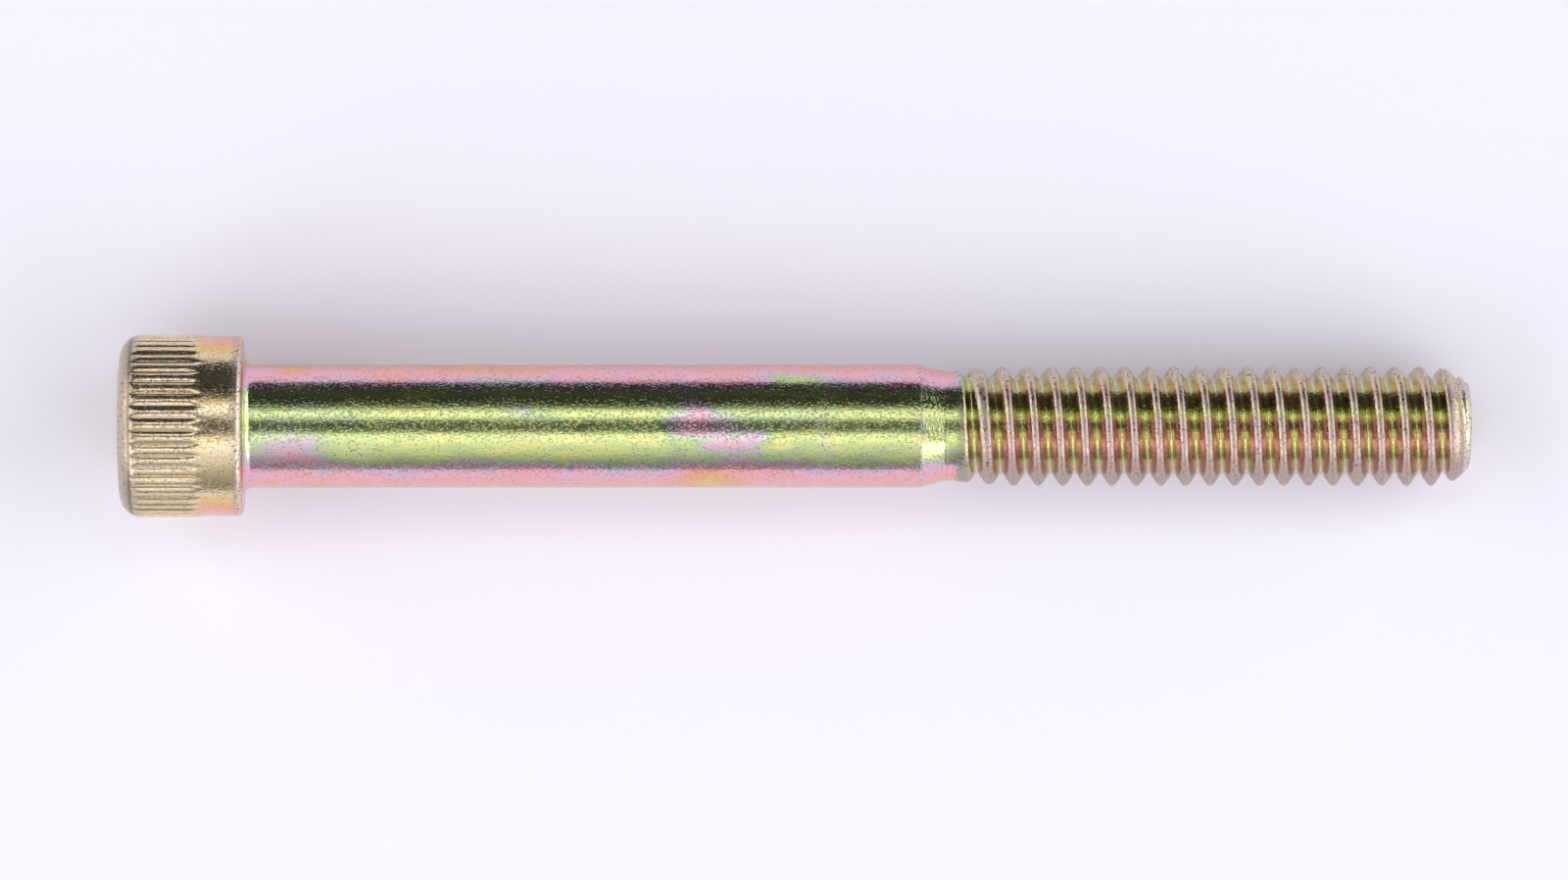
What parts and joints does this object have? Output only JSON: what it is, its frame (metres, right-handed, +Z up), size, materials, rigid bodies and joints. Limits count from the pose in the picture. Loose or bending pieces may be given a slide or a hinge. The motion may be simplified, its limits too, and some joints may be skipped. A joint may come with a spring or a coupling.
{
  "type": "socket head cap screw",
  "caption": "Long machine screw with a knurled cylindrical head, hexagon socket, plain shank, thinner neck and a right-hand rolled coarse thread, yellow zinc plated, lying on its side.",
  "frame": {"origin": "centre of the bearing face under the head, on the screw's axis", "axes": "+Z up; the screw lies on its side at rest, with its axis along +X towards the point and dipping 1.43 degrees, because the head is thicker than the thread; the longest side is along X"},
  "size_m": [0.0696, 0.0094, 0.0094],
  "materials": {
    "yellow_zinc": "yellow chromate over bright zinc plating, glossy and iridescent, dull on the thread crests"
  },
  "bodies": {
    "root": {"cap_screw": "yellow_zinc"}
  },
  "joints": []
}
